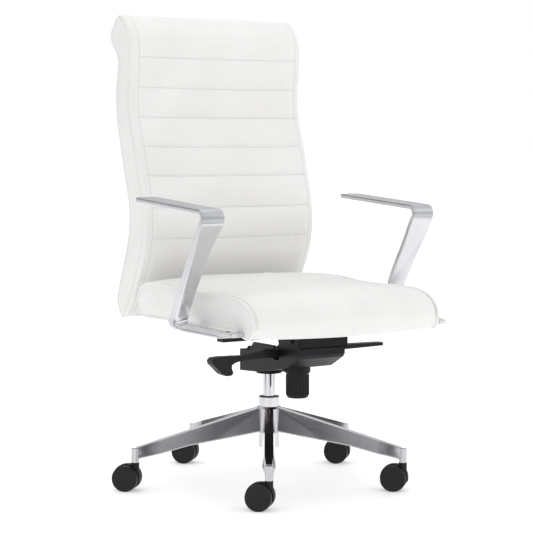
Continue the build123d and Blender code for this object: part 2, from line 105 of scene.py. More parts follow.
# ---------------------------------------------------------------- node helpers
def new_material(name):
    mat = bpy.data.materials.new(name)
    mat.use_nodes = True
    tree = mat.node_tree
    return mat, tree, tree.nodes["Principled BSDF"]


def add(tree, kind, **values):
    node = tree.nodes.new(kind)
    for key, value in values.items():
        if key.startswith("in_"):
            node.inputs[key[3:].replace("_", " ")].default_value = value
        else:
            setattr(node, key, value)
    return node


def noise_node(tree, scale, detail=3.0, roughness=0.5, stretch=None):
    coord = add(tree, "ShaderNodeTexCoord")
    tex = add(tree, "ShaderNodeTexNoise", in_Scale=scale, in_Detail=detail, in_Roughness=roughness)
    if stretch:
        place = add(tree, "ShaderNodeMapping", in_Scale=stretch)
        tree.links.new(coord.outputs["Object"], place.inputs["Vector"])
        tree.links.new(place.outputs["Vector"], tex.inputs["Vector"])
    else:
        tree.links.new(coord.outputs["Object"], tex.inputs["Vector"])
    return tex


def ramp(tree, source, low, high, colours):
    node = add(tree, "ShaderNodeValToRGB")
    node.color_ramp.elements[0].position = low
    node.color_ramp.elements[1].position = high
    node.color_ramp.elements[0].color = (*colours[0], 1)
    node.color_ramp.elements[1].color = (*colours[1], 1)
    tree.links.new(source, node.inputs["Fac"])
    return node.outputs["Color"]


def spread(tree, source, low, high):
    """Maps 0..1 to low..high."""
    node = add(tree, "ShaderNodeMapRange")
    node.inputs["To Min"].default_value = low
    node.inputs["To Max"].default_value = high
    tree.links.new(source, node.inputs["Value"])
    return node.outputs["Result"]


def bump(tree, shader, heights):
    """Chains (height socket, strength, distance in metres) into the shader's normal."""
    previous = None
    for height, strength, distance in heights:
        node = add(tree, "ShaderNodeBump", in_Strength=strength, in_Distance=distance)
        tree.links.new(height, node.inputs["Height"])
        if previous:
            tree.links.new(previous, node.inputs["Normal"])
        previous = node.outputs["Normal"]
    tree.links.new(previous, shader.inputs["Normal"])


# ---------------------------------------------------------------- materials
def leather():
    mat, tree, shader = new_material("white_leather")
    tone = noise_node(tree, 9.0, 4.0)
    colour = ramp(tree, tone.outputs["Fac"], 0.3, 0.75, ((0.806, 0.798, 0.776), (0.850, 0.844, 0.824)))
    tree.links.new(colour, shader.inputs["Base Color"])
    cells = add(tree, "ShaderNodeTexVoronoi", feature="DISTANCE_TO_EDGE", in_Scale=900.0)
    warp = noise_node(tree, 260.0, 2.0)
    coord = add(tree, "ShaderNodeTexCoord")
    shift = add(tree, "ShaderNodeVectorMath", operation="MULTIPLY_ADD")
    shift.inputs[1].default_value = (0.0016, 0.0016, 0.0016)
    tree.links.new(warp.outputs["Color"], shift.inputs[0])
    tree.links.new(coord.outputs["Object"], shift.inputs[2])
    tree.links.new(shift.outputs["Vector"], cells.inputs["Vector"])
    creases = noise_node(tree, 34.0, 5.0, 0.6)
    rough = spread(tree, tone.outputs["Fac"], 0.40, 0.52)
    tree.links.new(rough, shader.inputs["Roughness"])
    shader.inputs["Specular IOR Level"].default_value = 0.42
    shader.inputs["Sheen Weight"].default_value = 0.06
    shader.inputs["Sheen Roughness"].default_value = 0.4
    shader.inputs["Subsurface Weight"].default_value = 0.06
    shader.inputs["Subsurface Radius"].default_value = (0.004, 0.003, 0.002)
    bump(tree, shader, [(cells.outputs["Distance"], 0.16, 0.00035), (creases.outputs["Fac"], 0.14, 0.0012)])
    return mat


def thread():
    mat, tree, shader = new_material("stitch_thread")
    twist = add(tree, "ShaderNodeTexWave", in_Scale=700.0, in_Distortion=1.0)
    coord = add(tree, "ShaderNodeTexCoord")
    tree.links.new(coord.outputs["Object"], twist.inputs["Vector"])
    colour = ramp(tree, twist.outputs["Fac"], 0.2, 0.8, ((0.40, 0.395, 0.385), (0.56, 0.55, 0.535)))
    tree.links.new(colour, shader.inputs["Base Color"])
    shader.inputs["Roughness"].default_value = 0.75
    bump(tree, shader, [(twist.outputs["Fac"], 0.3, 0.0002)])
    return mat


def metal(name, light, dark, rough, grain, strength, stretch=(1, 1, 1)):
    """A bare metal: cloudy tone, uneven polish and a fine grain."""
    mat, tree, shader = new_material(name)
    cloud = noise_node(tree, 14.0, 4.0, 0.6)
    colour = ramp(tree, cloud.outputs["Fac"], 0.3, 0.75, (dark, light))
    tree.links.new(colour, shader.inputs["Base Color"])
    shader.inputs["Metallic"].default_value = 1.0
    lines = noise_node(tree, grain, 3.0, 0.6, stretch)
    tree.links.new(spread(tree, lines.outputs["Fac"], *rough), shader.inputs["Roughness"])
    bump(tree, shader, [(lines.outputs["Fac"], strength, 0.0002)])
    return mat


def moulded(name, light, dark, rough, grain, strength, coat=0.0):
    """Moulded nylon or powder coat: a fine pitted skin with slightly worn, paler patches."""
    mat, tree, shader = new_material(name)
    cloud = noise_node(tree, 22.0, 5.0, 0.65)
    colour = ramp(tree, cloud.outputs["Fac"], 0.35, 0.8, (dark, light))
    tree.links.new(colour, shader.inputs["Base Color"])
    pits = noise_node(tree, grain, 2.0, 0.5)
    tree.links.new(spread(tree, cloud.outputs["Fac"], *rough), shader.inputs["Roughness"])
    shader.inputs["Specular IOR Level"].default_value = 0.2
    shader.inputs["Coat Weight"].default_value = coat
    shader.inputs["Coat Roughness"].default_value = 0.25
    bump(tree, shader, [(pits.outputs["Fac"], strength, 0.0003)])
    return mat


def plywood():
    mat, tree, shader = new_material("plywood")
    layers = noise_node(tree, 30.0, 6.0, 0.6, (1.0, 8.0, 30.0))
    colour = ramp(tree, layers.outputs["Fac"], 0.3, 0.7, ((0.30, 0.19, 0.10), (0.55, 0.40, 0.25)))
    tree.links.new(colour, shader.inputs["Base Color"])
    shader.inputs["Roughness"].default_value = 0.6
    bump(tree, shader, [(layers.outputs["Fac"], 0.2, 0.0005)])
    return mat


# light tone, dark tone, roughness range, scale of the grain, its strength, and its stretch or the coat
METALS = {
    "aluminium_polished": ((0.57, 0.57, 0.58), (0.48, 0.48, 0.50), (0.10, 0.20), 160.0, 0.05),
    "arm_polished": ((0.68, 0.685, 0.70), (0.62, 0.625, 0.64), (0.20, 0.30), 240.0, 0.06),
    "arm_satin": ((0.52, 0.53, 0.55), (0.46, 0.47, 0.49), (0.36, 0.46), 300.0, 0.10, (1, 0.06, 1)),
    "chrome_tube": ((0.66, 0.66, 0.67), (0.60, 0.60, 0.62), (0.03, 0.07), 60.0, 0.01),
    "zinc_steel": ((0.62, 0.62, 0.60), (0.45, 0.45, 0.46), (0.25, 0.42), 200.0, 0.1),
    "caster_steel": ((0.66, 0.66, 0.66), (0.50, 0.50, 0.52), (0.18, 0.3), 200.0, 0.05),
}
MOULDINGS = {
    "black_plastic": ((0.020, 0.021, 0.024), (0.014, 0.014, 0.016), (0.36, 0.48), 1500.0, 0.22),
    "black_casting": ((0.010, 0.011, 0.014), (0.006, 0.007, 0.009), (0.30, 0.42), 900.0, 0.2, 0.04),
    "black_steel": ((0.010, 0.011, 0.013), (0.006, 0.006, 0.008), (0.34, 0.46), 900.0, 0.2),
    "caster_body": ((0.020, 0.020, 0.022), (0.013, 0.013, 0.015), (0.40, 0.52), 1300.0, 0.25),
    "caster_wheel": ((0.020, 0.020, 0.022), (0.013, 0.013, 0.015), (0.36, 0.50), 1300.0, 0.2),
}
MATS = {"white_leather": leather(), "thread": thread(), "plywood": plywood()}
MATS.update({name: metal(name, *values) for name, values in METALS.items()})
MATS.update({name: moulded(name, *values) for name, values in MOULDINGS.items()})


# ---------------------------------------------------------------- mesh helpers
def make_object(name, verts, faces, material, body="seat"):
    """A piece that rides on a body, or on none yet, with the given material in its one slot."""
    mesh = bpy.data.meshes.new(name)
    mesh.from_pydata([tuple(v) for v in verts], [], faces)
    mesh.validate()
    mesh.shade_smooth()
    obj = bpy.data.objects.new(name, mesh)
    bpy.context.scene.collection.objects.link(obj)
    mesh.materials.append(MATS[material])
    if body:
        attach(obj, body)
    return obj


def grid_faces(rows, columns, wrap=False):
    """Quads of a rows x columns grid of vertices; wrap joins the last column to the first."""
    faces = []
    last = columns if wrap else columns - 1
    for r in range(rows - 1):
        near, far = r * columns, (r + 1) * columns
        for c in range(last):
            d = (c + 1) % columns
            faces.append((near + c, near + d, far + d, far + c))
    return faces


def end_faces(rows, columns):
    """One face over the first row of a wrapped grid and one over its last."""
    first = tuple(range(columns))
    last = tuple((rows - 1) * columns + c for c in range(columns))
    return [first[::-1], last]


def resample(points, count):
    """The same line with count points evenly spaced along it."""
    points = np.asarray(points, float)
    step = np.linalg.norm(np.diff(points, axis=0), axis=1)
    along = np.concatenate([[0], np.cumsum(step)])
    at = np.linspace(0, along[-1], count)
    return np.stack([np.interp(at, along, points[:, i]) for i in range(points.shape[1])], axis=1)


def smooth_line(points, rounds):
    points = np.array(points, float)
    for _ in range(rounds):
        points[1:-1] = 0.25 * points[:-2] + 0.5 * points[1:-1] + 0.25 * points[2:]
    return points


def catmull(points, per_span=12, closed=False):
    """A smooth line through a few points."""
    p = np.asarray(points, float)
    n = len(p)
    out = []
    spans = n if closed else n - 1
    for i in range(spans):
        if closed:
            a, b, c, d = p[(i - 1) % n], p[i], p[(i + 1) % n], p[(i + 2) % n]
        else:
            a, b, c, d = p[max(i - 1, 0)], p[i], p[i + 1], p[min(i + 2, n - 1)]
        for k in range(per_span):
            t = k / per_span
            out.append(0.5 * (2 * b + (c - a) * t + (2 * a - 5 * b + 4 * c - d) * t * t
                              + (3 * b - a - 3 * c + d) * t ** 3))
    if not closed:
        out.append(p[-1])
    return np.array(out)


def ease(x):
    x = np.clip(x, 0, 1)
    return x * x * (3 - 2 * x)


def tube(name, line, radius, material, body="seat", sides=10, closed=False):
    """A round tube along a line of points, joined up when closed, else with flat ends."""
    line = np.asarray(line, float)
    n = len(line)
    tangent = np.roll(line, -1, 0) - np.roll(line, 1, 0) if closed else np.gradient(line, axis=0)
    tangent /= np.linalg.norm(tangent, axis=1)[:, None]
    normal = np.cross(tangent[0], (0.31, 0.52, 0.8))
    verts = []
    for i in range(n):
        normal = normal - tangent[i] * (normal @ tangent[i])
        normal /= np.linalg.norm(normal)
        side = np.cross(tangent[i], normal)
        for k in range(sides):
            a = 2 * math.pi * k / sides
            verts.append(line[i] + radius * (math.cos(a) * normal + math.sin(a) * side))
    faces = grid_faces(n, sides, wrap=True)
    if closed:
        last = (n - 1) * sides
        for k in range(sides):
            m = (k + 1) % sides
            faces.append((last + k, last + m, m, k))
    else:
        faces += end_faces(n, sides)
    return make_object(name, verts, faces, material, body)


def value_at(place, along, values):
    """A row of values read off between the points of a line."""
    return np.array([np.interp(place, along, values[:, i]) for i in range(values.shape[1])])


def stitches(name, lines):
    """Rows of short raised stitches along lines of (point, outward normal) arrays."""
    verts, faces = [], []
    rings = ((-0.5, 0.35), (-0.36, 0.85), (0.0, 1.0), (0.36, 0.85), (0.5, 0.35))
    sides = 6
    shell = grid_faces(len(rings), sides, wrap=True) + end_faces(len(rings), sides)
    half = STITCH_LENGTH / 2
    for points, normals in lines:
        points = np.asarray(points, float)
        normals = np.asarray(normals, float)
        step = np.linalg.norm(np.diff(points, axis=0), axis=1)
        along = np.concatenate([[0], np.cumsum(step)])
        for s in np.arange(STITCH_PITCH / 2, along[-1], STITCH_PITCH):
            tail, head = value_at(s - half, along, points), value_at(s + half, along, points)
            normal = value_at(s, along, normals)
            run = head - tail
            length = np.linalg.norm(run)
            if length < half:
                continue
            run = run / length
            normal = normal - run * (normal @ run)
            normal /= np.linalg.norm(normal)
            side = np.cross(run, normal)
            middle = (tail + head) / 2
            start = len(verts)
            for place, size in rings:
                sink = abs(place) * 0.0009
                centre = middle + run * length * place - normal * sink
                for k in range(sides):
                    a = 2 * math.pi * k / sides
                    offset = math.cos(a) * normal + math.sin(a) * side
                    verts.append(centre + offset * STITCH_RADIUS * size)
            faces += [tuple(start + v for v in face) for face in shell]
    return make_object(name, verts, faces, "thread")


# ---------------------------------------------------------------- the back
def search_trees(*names):
    """Search trees over CAD nodes, for casting rays at them."""
    trees = []
    for name in names:
        mesh = frame["nodes"][name].data
        corners = [v.co for v in mesh.vertices]
        trees.append(BVHTree.FromPolygons(corners, [p.vertices for p in mesh.polygons]))
    return trees


def cast(trees, origin, direction):
    """The nearest point that a ray hits, or None."""
    hits = [t.ray_cast(Vector(origin), Vector(direction)) for t in trees]
    hits = [h for h in hits if h[0] is not None]
    return min(hits, key=lambda h: h[3])[0] if hits else None


def back_outline():
    """Heights down the back, with the y of its front and rear faces at each."""
    trees = search_trees("head_roll", "back_cushion", "back_rear_pad")
    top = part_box("head_roll")[1].z
    low = min(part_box("back_cushion")[0].z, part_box("back_rear_pad")[0].z)
    span = top - low
    heights, front, rear = [], [], []
    for t in np.linspace(0, 1, 150):
        share = 0.5 - 0.5 * math.cos(math.pi * t) if t < 0.06 or t > 0.94 else t
        z = min(max(low + span * share, low + 0.0006), top - 0.0006)
        a = cast(trees, (OUTLINE_X, -1, z), (0, 1, 0))
        b = cast(trees, (OUTLINE_X, 1, z), (0, -1, 0))
        if a is None or b is None:
            continue
        heights.append(z)
        front.append(a.y)
        rear.append(b.y)
    order = np.argsort(heights)
    return np.array(heights)[order], np.array(front)[order], np.array(rear)[order]


def back_rows(heights, front, rear):
    """Evenly spaced rows up the back: height, and the y of the front and rear faces."""
    line, rear_line = [
        smooth_line(resample(np.stack([face, heights], 1), OUTLINE_POINTS), OUTLINE_ROUNDS)
        for face in (front, rear)
    ]
    rows = resample(line, BACK_ROWS)
    z = rows[:, 1]
    return z, rows[:, 0], np.interp(z, rear_line[:, 1], rear_line[:, 0])


def rounded_ring(half, y0, y1):
    """Points round one level row, starting at the front left: front, right side, rear, left side."""
    n_face, n_corner, n_side = BACK_COUNTS
    c = min(BACK_CORNER, (y1 - y0) * 0.49)
    left, right, front, rear = c - half, half - c, y0 + c, y1 - c
    sides = (
        ([(x, y0) for x in np.linspace(left, right, n_face)], (right, front)),
        ([(half, y) for y in np.linspace(front, rear, n_side)], (right, rear)),
        ([(x, y1) for x in np.linspace(right, left, n_face)], (left, rear)),
        ([(-half, y) for y in np.linspace(rear, front, n_side)], (left, front)),
    )
    points = []
    for quarter, (side, (cx, cy)) in enumerate(sides):
        points += side
        for k in range(1, n_corner + 1):
            a = math.pi / 2 * (quarter - 1 + k / (n_corner + 1))
            points.append((cx + c * math.cos(a), cy + c * math.sin(a)))
    return points


def groove(distance, width):
    """1 at no distance, falling away like a bell."""
    return np.exp(-(distance / width) ** 2)


def grid_normals(grid):
    """Outward unit normals of a closed rows x columns surface."""
    across = np.roll(grid, -1, 1) - np.roll(grid, 1, 1)
    down = np.gradient(grid, axis=0)
    normal = np.cross(across, down)
    size = np.linalg.norm(normal, axis=2)[..., None]
    return normal / np.maximum(size, 1e-12)


def noise_field(grid, scale, seed):
    """A smooth random value at each point of a grid, the same every time."""
    flat = grid.reshape(-1, 3)
    shift = Vector((seed, 1.7 * seed, -seed))
    return np.array([noise(Vector(p) * scale + shift) for p in flat]).reshape(grid.shape[:2])


def rib_shape(z):
    """Puffed height of the ribs, 0 at each seam, and the distance to the nearest seam."""
    seams = np.array(sorted(RIB_SEAMS))
    away = np.min(np.abs(z[..., None] - seams), axis=-1)
    puff = np.zeros_like(z)
    for low, high in zip(seams[:-1], seams[1:]):
        t = (z - low) / (high - low)
        inside = (t > 0) & (t < 1)
        puff = np.where(inside, 1 - np.abs(2 * t - 1) ** 2.4, puff)
    above = ease((z - seams[-1]) / 0.035)
    puff = np.where(z >= seams[-1], above, puff)
    below = ease((seams[0] - z) / 0.05)
    puff = np.where(z <= seams[0], below, puff)
    return puff, away


def back_relief(grid, normals, front, rear, half, bow):
    """How far each point of the back stands out: ribs, channels, seams, gussets and slack."""
    x, y, z = grid[..., 0], grid[..., 1], grid[..., 2]
    middle = (front + rear)[:, None] / 2
    from_front = y - front[:, None]
    from_rear = rear[:, None] - y
    from_side = half - np.abs(x)
    is_front = ease((-normals[..., 1] - 0.35) / 0.3) * (y < middle)
    is_rear = ease((normals[..., 1] - 0.35) / 0.3) * (y > middle)
    is_side = ease((np.abs(normals[..., 0]) - 0.5) / 0.3)
    puff, seam = rib_shape(z + bow)
    panel = is_front * ease((from_side - BORDER) / 0.022)
    pucker = noise_field(grid * np.array((1, 0.2, 0.35)), 120.0, 3.0)
    slack = noise_field(grid, 11.0, 8.0)
    fine = noise_field(grid * np.array((1, 1, 0.5)), 42.0, 5.0)
    # the ribbed front panel, its channels, and the seam down each of its edges
    move = panel * RIB_PUFF * puff
    move += panel * (0.0009 * slack + 0.00035 * fine * np.exp(-seam / 0.02))
    move -= panel * groove(seam, 0.0016) * 0.0014
    move += panel * pucker * np.exp(-seam / 0.007) * 0.0004
    move -= is_front * groove(from_side - BORDER, 0.0013) * 0.0020
    move += ((from_side < BORDER) & (from_front < GUSSET_FRONT)) * 0.0012
    # the gusset between its two seams
    move -= is_side * groove(from_front - GUSSET_FRONT, 0.0015) * 0.0036
    move -= is_side * groove(from_rear - GUSSET_REAR, 0.0015) * 0.0034
    width = np.maximum((rear - front)[:, None] - GUSSET_FRONT - GUSSET_REAR, 1e-4)
    gusset = np.clip((from_front - GUSSET_FRONT) / width, 0, 1)
    move += is_side * np.sin(math.pi * gusset) ** 0.7 * 0.0030
    move += is_side * 0.0006 * slack
    # the rear panel
    move += is_rear * ease((from_side - 0.012) / 0.05) * (0.0045 + 0.0012 * slack)
    return move


def back_threads(grid, normals, z, half, bow):
    """Stitching lines along every channel and down both edges of the front panel."""
    n_face = BACK_COUNTS[0]
    across = grid[0, :n_face, 0]
    lines = []
    for height in RIB_SEAMS:
        points, outs = [], []
        for c in range(n_face):
            if half - abs(across[c]) < BORDER + 0.002:
                continue
            level = height - bow[0, c]
            out = normals[int(np.argmin(np.abs(z - level))), c]
            points.append(value_at(level, z, grid[:, c]) + out * STITCH_LIFT)
            outs.append(out)
        lines.append((points, outs))
    rows = [k for k in range(len(z)) if 0.40 < z[k] < z.max() - 0.012]
    for side in (-1, 1):
        column = int(np.argmin(np.abs(across - side * (half - BORDER - 0.0022))))
        outs = normals[rows, column]
        lines.append((grid[rows, column] + outs * STITCH_LIFT, outs))
    return lines


def build_back():
    z, front, rear = back_rows(*back_outline())
    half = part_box("back_cushion")[1].x - 0.001
    grid = np.array([[(x, y, level) for x, y in rounded_ring(half, y0, y1)]
                     for level, y0, y1 in zip(z, front, rear)])
    normals = grid_normals(grid)
    if np.mean(normals[:, :BACK_COUNTS[0], 1]) > 0:
        normals = -normals
    bow = RIB_BOW * (1 - (grid[..., 0] / half) ** 2)
    fade = ease(np.minimum(z - z[0], z[-1] - z)[:, None] / 0.004)
    move = back_relief(grid, normals, front, rear, half, bow) * fade
    grid = grid + normals * move[..., None]
    rows, columns = grid.shape[:2]
    faces = grid_faces(rows, columns, wrap=True) + end_faces(rows, columns)
    obj = make_object("back_upholstery", grid.reshape(-1, 3), faces, "white_leather")
    tidy_mesh(obj)
    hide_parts("back_cushion", "back_rear_pad", "head_roll")
    stitches("back_stitching", back_threads(grid, normals, z, half, bow))


def tidy_mesh(obj):
    """Makes the faces point outwards and removes doubled points."""
    bm = bmesh.new()
    bm.from_mesh(obj.data)
    bmesh.ops.remove_doubles(bm, verts=bm.verts, dist=1e-5)
    bmesh.ops.recalc_face_normals(bm, faces=bm.faces)
    bm.to_mesh(obj.data)
    bm.free()


# ---------------------------------------------------------------- the seat
SEAT_SIDE = [                      # (y, z) round the seat's side panel from the rear foot, mm
    (171, 398), (181, 410), (185, 436), (178, 456), (160, 468), (128, 475), (60, 475), (-20, 469),
    (-110, 467), (-200, 468), (-255, 464), (-290, 455), (-314, 440), (-326, 419), (-324, 398),
    (-311, 383), (-290, 385), (-264, 393), (-240, 396.5), (-150, 396.6), (0, 396.6), (100, 396.6),
    (156, 396.6),
]
SEAT_BOW = 0.023                   # how far the front edge bulges forward in the middle
SEAT_CROWN = 0.0085
SEAT_SAG = 0.005                   # how far the front hem hangs lower in the middle
SEAT_OUTLINE_POINTS = 420
FOLDS = 5
FOLD_START = (0.085, 0.105)        # the first fold's foot, (x, y); each next one starts a step on
FOLD_STEP = (0.034, -0.034)
FOLD_WAY = (0.852, 0.523)          # the folds run against this direction
PANEL_RINGS = 12                   # rings that close a side panel
PANEL_SWELL = 0.0030


def seat_grid(half):
    """Rows across the seat of its closed side outline, and how much each point faces up."""
    outline = np.array(SEAT_SIDE, float) * 0.001
    line = catmull(outline, 14, closed=True)
    line = resample(np.vstack([line, line[:1]]), SEAT_OUTLINE_POINTS + 1)[:-1]
    edge = np.array((0.0, 0.0006, 0.0014, 0.0026, 0.004, 0.006, 0.0085, 0.0115, 0.015, 0.019, 0.024))
    inner = np.linspace(-half + 0.029, half - 0.029, 112)
    across = np.concatenate([-half + edge, inner, (half - edge)[::-1]])
    run = np.roll(line, -1, 0) - np.roll(line, 1, 0)
    run /= np.linalg.norm(run, axis=1)[:, None]
    out = np.stack([-run[:, 1], run[:, 0]], 1)
    if out[int(np.argmax(line[:, 1])), 1] < 0:
        out = -out
    grid = np.zeros((len(across), len(line), 3))
    grid[..., 0] = across[:, None]
    grid[..., 1] = line[None, :, 0]
    grid[..., 2] = line[None, :, 1]
    facing = np.broadcast_to(out[None], (len(across), len(line), 2))
    return grid, facing, line, out


def seat_relief(grid, facing, half):
    """How far each point of the cover stands out: crown, slack, creases, folds, and the dip to the piping."""
    x, y, z = grid[..., 0], grid[..., 1], grid[..., 2]
    share = x / half
    inset = half - np.abs(x)
    up = ease((facing[..., 1] + 0.1) / 0.5)
    outside = ease((np.maximum(facing[..., 1], -facing[..., 0]) + 0.2) / 0.5)
    above = ease((z - 0.400) / 0.02)
    welt = ease(inset / 0.011)
    puff = 0.0040 * ease(inset / 0.030) + SEAT_CROWN * (1 - share ** 2) ** 0.8
    puff *= up * ease((0.188 - y) / 0.05) * ease((y + 0.350) / 0.10)
    front = ease((-facing[..., 0] - 0.2) / 0.5) * ease((-y - 0.2) / 0.05) * above
    rear = ease((facing[..., 0] - 0.3) / 0.5) * above
    move = puff + (front * 0.0035 + rear * 0.0050) * ease(inset / 0.03)
    slack = noise_field(grid, 7.0, 2.0)
    soft = noise_field(grid * np.array((1.0, 0.6, 1.0)), 19.0, 6.0)
    move += outside * above * welt * (0.0016 * slack + 0.0005 * soft)
    # shallow creases that run in from the side seams and across the rear
    crease = noise_field(np.stack([x * 0.35 + y * 0.5, y - x * 0.3, z], 2), 46.0, 11.0)
    near_edge = np.exp(-inset / 0.045) + 0.6 * np.exp(-np.abs(y - 0.13) / 0.05)
    move += up * welt * crease * 0.0011 * near_edge
    # a fan of soft folds that start by one rear corner
    for k in range(FOLDS):
        dx = FOLD_START[0] + FOLD_STEP[0] * k - x
        dy = FOLD_START[1] + FOLD_STEP[1] * k - y
        along = dx * FOLD_WAY[0] + dy * FOLD_WAY[1]
        aside = dx * FOLD_WAY[1] - dy * FOLD_WAY[0]
        length = 0.15 - 0.015 * k
        body = ease(along / 0.04) * ease((length - along) / 0.06)
        ridge = 0.0042 * groove(aside, 0.007) - 0.0030 * groove(aside - 0.012, 0.005)
        move += up * welt * body * ridge
    pucker = noise_field(grid * np.array((0.12, 1.0, 1.0)), 115.0, 4.0)
    move += outside * above * pucker * 0.00045 * np.exp(-inset / 0.010) * ease(inset / 0.003)
    move -= outside * above * 0.0026 * groove(inset - 0.0045, 0.0022)
    return move


def close_side(grid, half, side, verts, faces):
    """A gently swollen side panel: rings that shrink from the edge towards a line inside it."""
    rows, columns = grid.shape[:2]
    row = 0 if side < 0 else rows - 1
    edge_y, edge_z = grid[row, :, 1], grid[row, :, 2]
    low, high = edge_y.min(), edge_y.max()
    heart_y = np.clip(edge_y, low + 0.028, high - 0.028)
    heart_z = np.interp(heart_y, [low, -0.25, -0.1, 0.1, high], [0.418, 0.428, 0.432, 0.434, 0.436])
    ring = [row * columns + c for c in range(columns)]
    for k in range(1, PANEL_RINGS + 1):
        t = k / (PANEL_RINGS + 0.5)
        y = edge_y * (1 - t) + heart_y * t
        z = edge_z * (1 - t) + heart_z * t
        swell = PANEL_SWELL * math.sin(min(t * 1.5, 1) * math.pi / 2)
        start = len(verts)
        for c in range(columns):
            ripple = 0.0007 * noise(Vector((y[c] * 22, z[c] * 22, side * 3.0))) * min(t * 3, 1)
            verts.append((side * (half + swell + ripple), y[c], z[c]))
        for c in range(columns):
            d = (c + 1) % columns
            faces.append((ring[c], ring[d], start + d, start + c))
        ring = [start + c for c in range(columns)]
    faces.append(tuple(ring))


def side_trim(grid, line, out, half, side):
    """Piping and a seam line round one side panel; returns the row of stitches beside them."""
    rows, columns = grid.shape[:2]
    name = "left" if side > 0 else "right"
    edge = grid[rows - 1 if side > 0 else 0]
    for kind, radius, x, reach, material, sides in (
        ("piping", SIDE_PIPING, half + 0.0002, 0.0004, "white_leather", 10),
        ("seam", SIDE_SEAM, half - 0.0040, -0.0016, "thread", 6),
    ):
        loop = edge.copy()
        loop[:, 0] = side * x
        loop[:, 1:] += out * reach
        tube(f"seat_{kind}_{name}", loop[::2], radius, material,
             sides=sides, closed=True)
    beside = 6 if side < 0 else rows - 7
    keep = [c for c in range(columns) if line[c, 1] > 0.403]
    first = keep.index(max(keep, key=lambda c: line[c, 0] if line[c, 1] < 0.42 else -9))
    order = keep[first:] + keep[:first]
    outs = np.array([(0.0, *out[c]) for c in order])
    return grid[beside, order] + outs * STITCH_LIFT, outs


def build_seat():
    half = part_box("seat_cushion")[1].x - 0.0035
    flat, facing, line, out = seat_grid(half)
    y, z = flat[..., 1], flat[..., 2]
    middle = 1 - (flat[..., 0] / half) ** 2
    move = seat_relief(flat, facing, half)
    grid = flat.copy()
    grid[..., 1] += facing[..., 0] * move - SEAT_BOW * middle * ease((-y - 0.13) / 0.19)
    grid[..., 2] += facing[..., 1] * move
    grid[..., 2] -= SEAT_SAG * middle * ease((-y - 0.25) / 0.05) * ease((0.425 - z) / 0.03)
    verts = list(grid.reshape(-1, 3))
    faces = grid_faces(*grid.shape[:2], wrap=True)
    for side in (-1, 1):
        close_side(grid, half, side, verts, faces)
    obj = make_object("seat_upholstery", verts, faces, "white_leather")
    tidy_mesh(obj)
    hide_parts("seat_cushion")
    stitches("seat_stitching", [side_trim(grid, line, out, half, side) for side in (-1, 1)])


# ---------------------------------------------------------------- the arms
ARM_SLOPE = 21 / 310.7             # fall of the pad towards the front
ARM_BEND = (-203.4, 638.8)         # centre of the front bend, (y, z) in mm
ARM_BEND_RADIUS = 15.0
ARM_HALF_THICK = 5.0
ARM_CAP_LOW = 3.2                  # the cap's underside, measured from the band's middle
PAD_OUTER = 312.0
PAD_INNER = 256.5
PAD_END = 80.0                     # the pad's rear tip
TIP_LENGTH = 6.0                   # the stretch over which a tip is rounded off
TIP_NARROWING = 5.0
# corners of the blade by height: z, then (x, y) of outer front, crease, inner front, inner rear, outer rear
BLADE = [
    (634, 312, -224.0, 310, -224.0, 256.5, -224.0, 256.5, -212.5, 312, -212.5),
    (628, 312, -221.0, 310, -221.0, 256.5, -220.5, 256.5, -207.5, 312, -207.5),
    (620, 312, -216.5, 310, -216.3, 256.7, -215.0, 256.7, -202.0, 312, -201.0),
    (608, 311.5, -210.0, 309.5, -209.6, 258, -206.0, 258, -194.0, 311.6, -192.5),
    (595, 311.0, -203.5, 308.6, -202.6, 260, -197.0, 260, -185.0, 311.2, -184.0),
    (582, 310.2, -196.0, 304.8, -193.5, 262, -187.5, 262, -175.5, 310.6, -175.0),
    (568, 309.5, -188.0, 300.5, -183.5, 263.5, -178.0, 263.5, -166.0, 310, -165.0),
    (545, 308.8, -173.5, 294.5, -168.0, 264, -162.7, 264, -150.5, 309.5, -150.0),
    (522, 308, -158.5, 287.5, -152.5, 264.5, -147.7, 264.5, -135.5, 309, -135.0),
    (500, 307.5, -146.0, 278, -137.5, 265, -134.4, 265, -122.0, 308.5, -121.5),
    (477, 306.5, -132.5, 266.8, -119.6, 266, -119.4, 266, -107.0, 308, -107.5),
    (454, 305.5, -118.5, 270.5, -112.3, 270, -112.3, 270, -99.0, 306.5, -92.0),
    (432, 304, -103.0, 274.5, -105.2, 274, -105.2, 274, -91.0, 305, -76.5),
    (412, 303.5, -88.0, 277.5, -99.7, 277, -99.7, 277, -86.0, 304, -61.5),
]
FOOT_LOW = 385.5
FOOT_END = -291.0
FOOT_OUTER = 304.0
FOOT_INNER = 279.0
FOOT_START = -132.0                # where the bend from the blade has ended
# the same five corners round the bend from the blade into the foot
FOOT_BEND = [
    [(303.6, -87, 405), (303.8, -93, 399), (304, -104, 394.5), (FOOT_OUTER, FOOT_START, 391.5)],
    [(281, -100.5, 407), (288, -104, 404.6), (295, -114, 403.9), (299, FOOT_START, 403.2)],
    [(277.5, -100.2, 407), (278.5, -103, 404.8), (279, -110, 404.1), (FOOT_INNER, FOOT_START, 403.2)],
    [(278, -80, 401), (279, -84, 393), (279, -98, 387), (FOOT_INNER, FOOT_START, FOOT_LOW)],
    [(304, -57, 404.5), (304, -65, 396), (304, -83, 390), (FOOT_OUTER, FOOT_START, FOOT_LOW)],
]
BEND_ROWS = 40
TONGUE_YS = (-276.0, -122.0)       # the tongues from the foot in under the seat
TONGUE_HALF = 15
TONGUE_TOP = 396
TONGUE_LOW = 386


